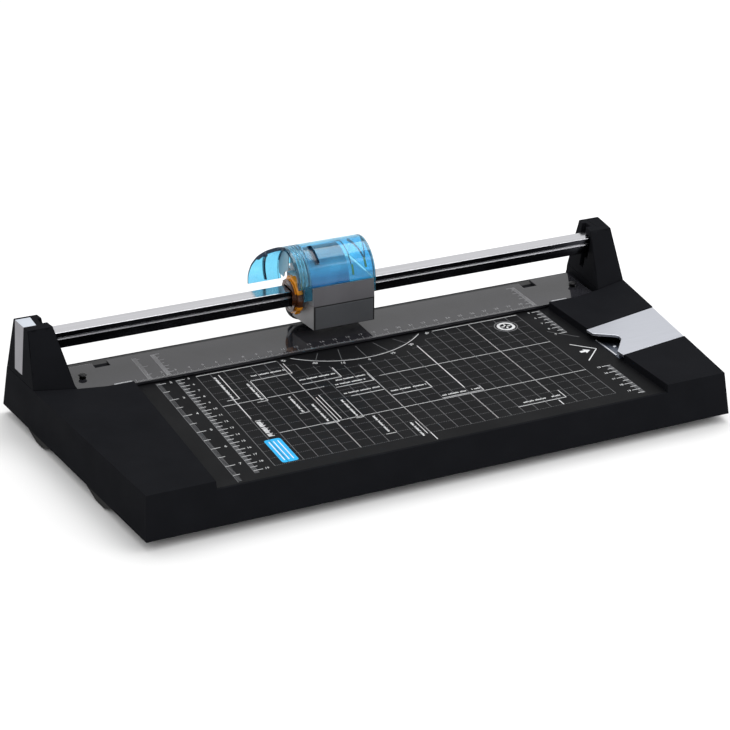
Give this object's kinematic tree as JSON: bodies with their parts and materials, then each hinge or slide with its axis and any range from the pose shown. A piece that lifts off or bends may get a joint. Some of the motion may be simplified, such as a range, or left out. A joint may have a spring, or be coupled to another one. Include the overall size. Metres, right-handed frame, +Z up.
{
  "type": "rotary paper trimmer",
  "caption": "Desktop rotary paper trimmer: black base with printed grid, sprung chrome guide rail, sliding cutter head under a clear blue hood, clear paper clamp and corner rounder.",
  "frame": {"origin": "bottom centre of the bounding box; the four rubber feet stand on Z = 0", "axes": "+X to the right along the guide rail, -Y towards the user's front edge, +Z up"},
  "size_m": [0.4782, 0.2222, 0.095],
  "materials": {
    "casing_black": "matt, fine texture",
    "underside_black": "matt",
    "cap_grey": "satin light grey",
    "printed_mat": "satin, printed white grid and rulers",
    "cutting_strip": "satin",
    "rubber_foot": "matt",
    "screw_steel": "bright zinc",
    "spring_steel": "drawn wire",
    "die_steel": "ground",
    "silver_plate": "satin silver",
    "rail_chrome": "mirror",
    "slide_block": "satin",
    "smoke_clear": "clear smoke grey, printed scales",
    "head_grey": "satin gunmetal",
    "magazine_grey": "gloss",
    "bush_white": "natural",
    "guard_black": "satin",
    "blade_steel": "ground edge",
    "blue_clear": "clear cyan blue",
    "orange_clear": "clear orange"
  },
  "bodies": {
    "base": {"base_shell": "casing_black", "bottom_plate": "underside_black", "left_tower": "casing_black", "right_tower": "casing_black", "left_tower_cap": "cap_grey", "right_tower_cap": "cap_grey", "grid_mat": "printed_mat", "cutting_strip": "cutting_strip", "foot_front_left": "rubber_foot", "foot_front_right": "rubber_foot", "foot_rear_left": "rubber_foot", "foot_rear_right": "rubber_foot", "base_screws": "screw_steel", "left_lift_spring": "spring_steel", "right_lift_spring": "spring_steel", "clamp_pins": "screw_steel", "clamp_springs": "spring_steel", "rounder_die": "die_steel", "rounder_pin": "screw_steel", "rounder_spring": "spring_steel"},
    "rail_carrier": {"guide_rail": "rail_chrome", "left_end_block": "slide_block", "right_end_block": "slide_block", "rail_end_screws": "screw_steel"},
    "clamp": {"clamp_strip": "smoke_clear", "clamp_tabs": "screw_steel"},
    "cutter_head": {"head_housing": "head_grey", "blade_magazine": "magazine_grey", "magazine_lid": "magazine_grey", "left_rail_bush": "bush_white", "right_rail_bush": "bush_white", "cover_hinge_pin": "screw_steel", "blade_axle": "screw_steel", "head_screws": "screw_steel", "blade_guard": "guard_black", "spare_wavy_blade": "blade_steel", "spare_perforating_blade": "blade_steel", "dial_clip": "bush_white"},
    "hood": {"head_cover": "blue_clear"},
    "selector": {"selector_dial": "orange_clear"},
    "blade": {"round_blade": "blade_steel", "blade_hub": "guard_black"},
    "rounder": {"rounder_lever": "silver_plate", "rounder_punch": "die_steel"}
  },
  "joints": [
    {"name": "rail_press", "type": "slide", "parent": "base", "child": "rail_carrier", "axis": [0, 0, 1], "range_m": [-0.0034, 0], "stiffness_N_per_m": 2500, "springref_m": 0.006, "deforming": ["left_lift_spring", "right_lift_spring"]},
    {"name": "head_slide", "type": "slide", "parent": "rail_carrier", "child": "cutter_head", "axis": [1, 0, 0], "range_m": [-0.149, 0.178]},
    {"name": "cover_hinge", "type": "hinge", "parent": "cutter_head", "child": "hood", "pos_m": [0, 0.11, 0.0693], "axis": [-1, 0, 0], "range_deg": [0, 75]},
    {"name": "selector_turn", "type": "hinge", "parent": "cutter_head", "child": "selector", "pos_m": [-0.0307, 0.0845, 0.06105], "axis": [1, 0, 0], "range_deg": [0, 240]},
    {"name": "blade_spin", "type": "hinge", "parent": "cutter_head", "child": "blade", "pos_m": [-0.0175, 0.098, 0.04775], "axis": [0, 1, 0], "continuous": true},
    {"name": "clamp_lift", "type": "slide", "parent": "base", "child": "clamp", "axis": [0, 0, 1], "range_m": [0, 0.0016]},
    {"name": "corner_press", "type": "hinge", "parent": "base", "child": "rounder", "pos_m": [0.214, -0.0175, 0.0319], "axis": [0, -1, 0], "range_deg": [0, 3.1], "stiffness_Nm_per_rad": 0.6, "springref_deg": -6.88, "deforming": ["rounder_spring"]}
  ]
}
